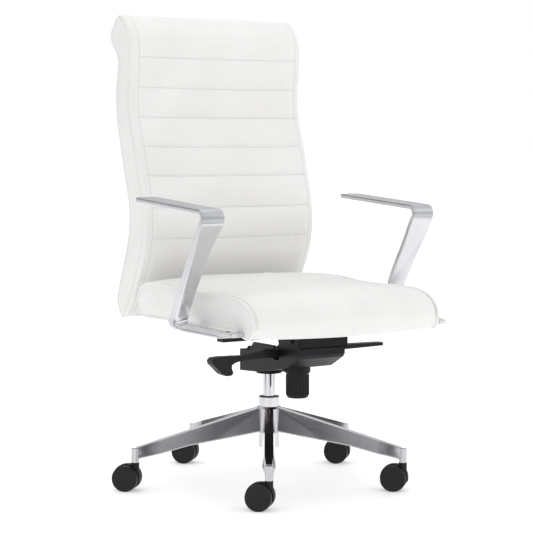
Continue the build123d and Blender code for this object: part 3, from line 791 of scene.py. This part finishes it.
def arm_pad_stations(step):
    """(y, z, normal y, normal z) along the middle of the pad and round the front bend, mm."""
    ny, nz = -ARM_SLOPE / math.hypot(1, ARM_SLOPE), 1 / math.hypot(1, ARM_SLOPE)
    start = math.atan2(nz, ny)
    end = math.radians(214.6)
    cy, cz = ARM_BEND
    first = (cy + ARM_BEND_RADIUS * ny, cz + ARM_BEND_RADIUS * nz)
    stations = []
    for y in np.linspace(PAD_END, first[0], int(285 / step)):
        stations.append((y, first[1] + (y - first[0]) * ARM_SLOPE, ny, nz))
    for angle in np.linspace(start, end, 30)[1:]:
        c, s = math.cos(angle), math.sin(angle)
        stations.append((cy + ARM_BEND_RADIUS * c, cz + ARM_BEND_RADIUS * s, c, s))
    return stations


def rounded_section(corners, radii, fill):
    """A section with rounded corners; fill gives extra points along each side."""
    corners = [np.asarray(c, float) for c in corners]
    points = []
    n = len(corners)
    outs = []
    for i, corner in enumerate(corners):
        before, after = corners[i - 1], corners[(i + 1) % n]
        steps = []
        for other in (before, after):
            run = other - corner
            length = max(np.linalg.norm(run), 1e-6)
            r = min(radii[i], 0.30 * length)
            steps.append((corner + run / length * r * 1.45, corner + run / length * r))
        bend = []
        for t in (0.0, 0.25, 0.5, 0.75, 1.0):
            bend.append((1 - t) ** 2 * steps[0][1] + 2 * t * (1 - t) * corner + t * t * steps[1][1])
        outs.append([steps[0][0], *bend, steps[1][0]])
    for i in range(n):
        points += outs[i]
        a, b = outs[i][-1], outs[(i + 1) % n][0]
        for k in range(1, fill[i] + 1):
            points.append(a + (b - a) * k / (fill[i] + 1))
    return points


def loft(name, rings, material, side):
    """A closed skin over rings of equal length given in millimetres; side mirrors it."""
    columns = len(rings[0])
    verts = [(side * p[0] * 0.001, p[1] * 0.001, p[2] * 0.001) for ring in rings for p in ring]
    faces = grid_faces(len(rings), columns, wrap=True) + end_faces(len(rings), columns)
    obj = make_object(name, verts, faces, material)
    tidy_mesh(obj)
    return obj


def tip(y, end):
    """1 along a strip, falling as a quarter circle to 0 over the last stretch before its end."""
    t = np.clip(1 - abs(end - y) / TIP_LENGTH, 0, 0.985)
    return math.sqrt(1 - t * t)


def blade_at(z):
    """The blade's corners at one height, in the order of the table."""
    table = np.array(BLADE[::-1], float)
    values = [np.interp(z, table[:, 0], table[:, k]) for k in range(1, 11)]
    return [(values[2 * k], values[2 * k + 1]) for k in range(5)]


def smooth_rows(rows, rounds, start):
    """Evens out the rows after start."""
    rows = np.array(rows, float)
    for _ in range(rounds):
        rows[start + 1:-1] = (rows[start:-2] + 2 * rows[start + 1:-1] + rows[start + 2:]) / 4
    return rows


def pad_row(y, z, ny, nz):
    """The band's five corners at one place along the pad."""
    shrink = tip(y, PAD_END)
    inset = TIP_NARROWING * (1 - shrink)
    x_out, x_in = PAD_OUTER - inset, PAD_INNER + inset
    high = (ARM_CAP_LOW - 0.7) * shrink
    low = -ARM_HALF_THICK * shrink
    top = (y + ny * high, z + nz * high)
    bottom = (y + ny * low, z + nz * low)
    return [(x_out, *top), (x_out - 2, *top), (x_in, *top), (x_in, *bottom), (x_out, *bottom)]


def blade_row(z):
    """The band's five corners at one height of the blade, cut square to its lean."""
    lean = 2.8 * float(ease((z - 420) / 120))
    front = blade_at(z - lean)
    rear = blade_at(z + lean)
    return [*[(*corner, z - lean) for corner in front[:3]], *[(*corner, z + lean) for corner in rear[3:]]]


def foot_row(y):
    """The band's five corners at one place along the foot, which thins towards its front end."""
    high = np.interp(y, [FOOT_END, -262, FOOT_START], [394.5, 400.0, 403.2])
    shrink = tip(y, FOOT_END)
    mid = (high + FOOT_LOW) / 2
    top = mid + (high - mid) * shrink
    low = mid - (mid - FOOT_LOW) * shrink
    inset = 3 * (1 - shrink)
    x_out, x_in = FOOT_OUTER - inset, FOOT_INNER + inset
    edge = low + (top - low) * 0.34
    return [(x_out, y, edge), (x_out - 5, y, top), (x_in, y, top), (x_in, y, low), (x_out, y, low)]


def arm_corner_rows():
    """Rows of the five corners along the whole band, from the pad's tip to the end of the foot."""
    rows = [pad_row(*station) for station in arm_pad_stations(6.0)]
    pad_count = len(rows)
    heights = [627.6, *np.linspace(626, 612, 8), *np.linspace(610, 592, 19), *np.linspace(588, 414, 60)]
    rows = list(smooth_rows(rows + [blade_row(z) for z in heights], 30, pad_count + 1))
    bends = []
    for corner, line in zip(rows[-1], FOOT_BEND):
        bends.append(resample(catmull(np.array([corner, *line]), 12), BEND_ROWS))
    rows += [[bend[k] for bend in bends] for k in range(1, BEND_ROWS)]
    rows += [foot_row(y) for y in (*np.linspace(-136, -284, 34), -287, -289, -290.2, FOOT_END)]
    return rows, pad_count


def arm_cap_rings():
    """Rings of the satin cap that lies on the pad and ends past the front bend."""
    rings = []
    for y, z, ny, nz in arm_pad_stations(4.0):
        if z + nz * ARM_HALF_THICK < 628.3 and z < 640:
            break
        shrink = tip(y, PAD_END)
        inset = TIP_NARROWING * (1 - shrink) - 0.2
        x_out, x_in = PAD_OUTER - inset, PAD_INNER + inset
        high = (ARM_HALF_THICK + 0.35) * shrink
        low = ARM_CAP_LOW * shrink
        corners = [(x_out, high), (x_in, high), (x_in, low), (x_out, low)]
        ring = []
        for px, pn in rounded_section(corners, (1.0,) * 4, (16, 1, 6, 1)):
            across = (px - (PAD_OUTER + PAD_INNER) / 2) / 28
            crown = 0.7 * (1 - across ** 2) * float(ease((pn - low) / 1.2)) * shrink
            ring.append((px, y + ny * (pn + crown), z + nz * (pn + crown)))
        rings.append(ring)
    return rings


def arm_tongue_rings(y):
    """Rings of one flat tongue, from its rounded inner end out into the foot."""
    rings = []
    for x, inset in ((205, 1.0), (205.4, 0.3), (206.5, 0.0), (240, 0.0), (279.5, 0.0), (280.5, 0.0)):
        near, far = y - TONGUE_HALF + inset, y + TONGUE_HALF - inset
        top, low = TONGUE_TOP - inset, TONGUE_LOW + inset
        section = rounded_section([(near, top), (far, top), (far, low), (near, low)], (1.2,) * 4, (1,) * 4)
        rings.append([(x, *p) for p in section])
    return rings


def build_arm(side):
    name = "left" if side > 0 else "right"
    rows, pad_count = arm_corner_rows()
    rings = []
    for k, corners in enumerate(rows):
        soft = 1.2 + 7.8 * float(ease((k - pad_count - 10) / 30))
        ring = rounded_section(corners, (soft, 1.0, 1.2, 1.2, 1.2), (5, 22, 3, 12, 5))
        rings.append(scallop(ring, corners) if k >= pad_count else ring)
    band = loft(f"arm_band_{name}", rings, "arm_polished", side)
    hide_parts(f"arm_{name}")
    cap = loft(f"arm_pad_{name}", arm_cap_rings(), "arm_satin", side)
    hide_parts(f"arm_cap_{name}")
    for k, y in enumerate(TONGUE_YS):
        loft(f"arm_tongue_{name}_{k}", arm_tongue_rings(y), "arm_polished", side)


def scallop(ring, corners):
    """Lifts the front face above a curved line, so the bend's skin ends in a soft step."""
    outer, inner = np.asarray(corners[0]), np.asarray(corners[2])
    width = outer[0] - inner[0]
    if width < 20:
        return ring
    lifted = []
    for p in ring:
        share = np.clip((outer[0] - p[0]) / width, 0, 1)
        limit = 594 + 15 * share ** 0.6
        on_front = 1.0 if p[1] < outer[1] + 3.0 else 0.0
        rise = 0.9 * float(ease((p[2] - limit) / 3.0)) * on_front
        lifted.append((p[0], p[1] - 0.82 * rise, p[2] - 0.57 * rise))
    return lifted


build_back()
build_seat()
build_arm(1)
build_arm(-1)


# ---------------------------------------------------------------- CAD nodes
EDGES = {                          # how far each kind of piece has its edges broken
    "aluminium_polished": 0.0022,
    "arm_polished": 0.0016,
    "arm_satin": 0.0006,
    "black_casting": 0.0014,
    "black_plastic": 0.0008,
    "black_steel": 0.0008,
    "caster_body": 0.0012,
    "caster_wheel": 0.0006,
}
SOFT_EDGES = {"height_lever": 0.0032, "tilt_housing": 0.0032}


def dress_nodes():
    slots = {s["node"]: s["material_slot"] for s in frame["record"]["subparts"]}
    for name, obj in frame["nodes"].items():
        slot = slots[name]
        obj.data.materials.clear()
        obj.data.materials.append(MATS[slot])
        if slot in EDGES:
            mod = obj.modifiers.new("edges", "BEVEL")
            mod.width = SOFT_EDGES.get(name, EDGES[slot])
            mod.segments = 3
            mod.limit_method = "ANGLE"
            mod.angle_limit = math.radians(35)
            mod.harden_normals = True
            obj.data.shade_smooth()


def build_spring():
    """The tilt spring in two lengths, the low one by the tension nut and the rest up to the seat; neither is
    put on a body.
    """
    low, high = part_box("tilt_spring")
    x, y, _ = (low + high) / 2
    radius = (high.x - low.x) / 2 - SPRING_WIRE
    foot, head = low.z + SPRING_WIRE, high.z - SPRING_WIRE

    def point(share):
        turn = 2 * math.pi * SPRING_TURNS * share
        return (x + radius * math.cos(turn), y + radius * math.sin(turn), foot + (head - foot) * share)

    for name, body, start, end, reach in (("tilt_spring_low", "nut", 0.0, SPRING_SPLIT, foot),
                                          ("tilt_spring_high", "seat", SPRING_SPLIT, 1.0, head)):
        count = round(SPRING_TURNS * 28 * (end - start)) + 1
        line = [point(share) for share in np.linspace(start, end, count)]
        obj = tube(name, line, SPRING_WIRE, "zinc_steel", body=None)
        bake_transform(obj)
        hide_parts("tilt_spring")


dress_nodes()
build_spring()


# ---------------------------------------------------------------- stage, light and camera
def stage():
    """A wide white floor. In reflections only, it is painted dark past its middle and in a few painted dark
    screens beyond: painted reflections, not a lit room.
    """
    bpy.ops.mesh.primitive_plane_add(size=FLOOR_SIZE)
    floor = bpy.context.object
    floor.name = "floor"
    mat, tree, shader = new_material("painted_reflection_floor")
    coord = add(tree, "ShaderNodeTexCoord")
    reach = add(tree, "ShaderNodeVectorMath", operation="LENGTH")
    tree.links.new(coord.outputs["Object"], reach.inputs[0])
    fade = add(tree, "ShaderNodeMapRange", interpolation_type="SMOOTHSTEP")
    fade.inputs["From Min"].default_value = SWEEP_NEAR
    fade.inputs["From Max"].default_value = SWEEP_FAR
    tree.links.new(reach.outputs["Value"], fade.inputs["Value"])
    way = add(tree, "ShaderNodeVectorMath", operation="NORMALIZE")
    tree.links.new(coord.outputs["Object"], way.inputs[0])
    painted_screens = None
    # painted dark screens: directions in which the floor is painted dark, seen only in reflections
    for turn in PAINTED_SCREEN_TURNS:
        facing = add(tree, "ShaderNodeVectorMath", operation="DOT_PRODUCT")
        facing.inputs[1].default_value = (math.cos(turn), math.sin(turn), 0)
        tree.links.new(way.outputs["Vector"], facing.inputs[0])
        painted_screen = add(tree, "ShaderNodeMapRange", interpolation_type="SMOOTHSTEP")
        painted_screen.inputs["From Min"].default_value = math.cos(PAINTED_SCREEN_HALF * 1.5)
        painted_screen.inputs["From Max"].default_value = math.cos(PAINTED_SCREEN_HALF)
        tree.links.new(facing.outputs["Value"], painted_screen.inputs["Value"])
        total = add(tree, "ShaderNodeMath", operation="ADD")
        tree.links.new(painted_screen.outputs["Result"], total.inputs[0])
        if painted_screens:
            tree.links.new(painted_screens, total.inputs[1])
        else:
            total.inputs[1].default_value = PAINTED_DARK_PAST_SWEEP
        painted_screens = total.outputs["Value"]
    path = add(tree, "ShaderNodeLightPath")
    shade = add(tree, "ShaderNodeMath", operation="MULTIPLY", use_clamp=True)
    tree.links.new(fade.outputs["Result"], shade.inputs[0])
    tree.links.new(painted_screens, shade.inputs[1])
    # painted reflection: the painted dark applies only to glossy rays, so only polished metal shows it
    dark = add(tree, "ShaderNodeMath", operation="MULTIPLY", use_clamp=True)
    tree.links.new(shade.outputs["Value"], dark.inputs[0])
    tree.links.new(path.outputs["Is Glossy Ray"], dark.inputs[1])
    # the floor's own white, going to a near-black painted reflection where the painted dark applies
    tone = ramp(tree, dark.outputs["Value"], 0.0, 1.0, ((0.92, 0.92, 0.92), (0.04, 0.04, 0.05)))
    tree.links.new(tone, shader.inputs["Base Color"])
    tree.links.new(spread(tree, dark.outputs["Value"], FLOOR_GLOW, 0.0), shader.inputs["Emission Strength"])
    shader.inputs["Roughness"].default_value = 0.6
    shader.inputs["Emission Color"].default_value = (1, 1, 1, 1)
    floor.data.materials.append(mat)


LIGHT_TARGET = (0, 0, 0.5)


def area(name, place, side, power):
    """A square soft light aimed at the middle of the chair."""
    light = bpy.data.lights.new(name, "AREA")
    light.shape = "RECTANGLE"
    light.size = light.size_y = side
    light.energy = power
    obj = bpy.data.objects.new(name, light)
    bpy.context.scene.collection.objects.link(obj)
    obj.location = place
    obj.rotation_euler = (Vector(LIGHT_TARGET) - Vector(place)).to_track_quat("-Z", "Y").to_euler()
    return obj


def world():
    w = bpy.data.worlds.new("studio")
    bpy.context.scene.world = w
    w.use_nodes = True
    tree = w.node_tree
    back = tree.nodes["Background"]
    coord = add(tree, "ShaderNodeTexCoord")
    split = add(tree, "ShaderNodeSeparateXYZ")
    tree.links.new(coord.outputs["Generated"], split.inputs["Vector"])
    sky = add(tree, "ShaderNodeValToRGB")
    stops = sky.color_ramp.elements
    stops[0].position = 0.0
    stops[0].color = (0.75, 0.75, 0.76, 1)
    stops[1].position = 1.0
    stops[1].color = (0.90, 0.90, 0.90, 1)
    for place, value in ((0.47, 0.12), (0.54, 0.14), (0.62, 0.84), (0.78, 0.96)):
        stop = stops.new(place)
        stop.color = (value, value, value * 1.02, 1)
    level = add(tree, "ShaderNodeMapRange")
    level.inputs["From Min"].default_value = -1
    tree.links.new(split.outputs["Z"], level.inputs["Value"])
    tree.links.new(level.outputs["Result"], sky.inputs["Fac"])
    path = add(tree, "ShaderNodeLightPath")
    mix = add(tree, "ShaderNodeMix", data_type="RGBA")
    tree.links.new(path.outputs["Is Camera Ray"], mix.inputs[0])
    tree.links.new(sky.outputs["Color"], mix.inputs[6])
    mix.inputs[7].default_value = (1.0, 1.0, 1.0, 1)
    tree.links.new(mix.outputs[2], back.inputs["Color"])
    back.inputs["Strength"].default_value = 1.0


def camera():
    data = bpy.data.cameras.new("camera")
    data.lens = CAM_LENS
    data.sensor_width = 36
    data.shift_x = CAM_SHIFT
    data.clip_end = 400
    cam = bpy.data.objects.new("camera", data)
    bpy.context.scene.collection.objects.link(cam)
    cam.location = (-math.sin(CAM_TURN) * CAM_REACH, -math.cos(CAM_TURN) * CAM_REACH, CAM_HEIGHT)
    cam.rotation_euler = (math.pi / 2 - CAM_PITCH, 0, -CAM_TURN)
    bpy.context.scene.camera = cam


stage()
world()
area("key", (-2.6, -2.4, 3.2), 2.4, 14)
area("fill", (2.8, -2.2, 2.0), 2.4, 14)
area("top", (0.2, 0.6, 3.6), 3.0, 16)
camera()
bpy.context.scene.view_settings.view_transform = "Standard"
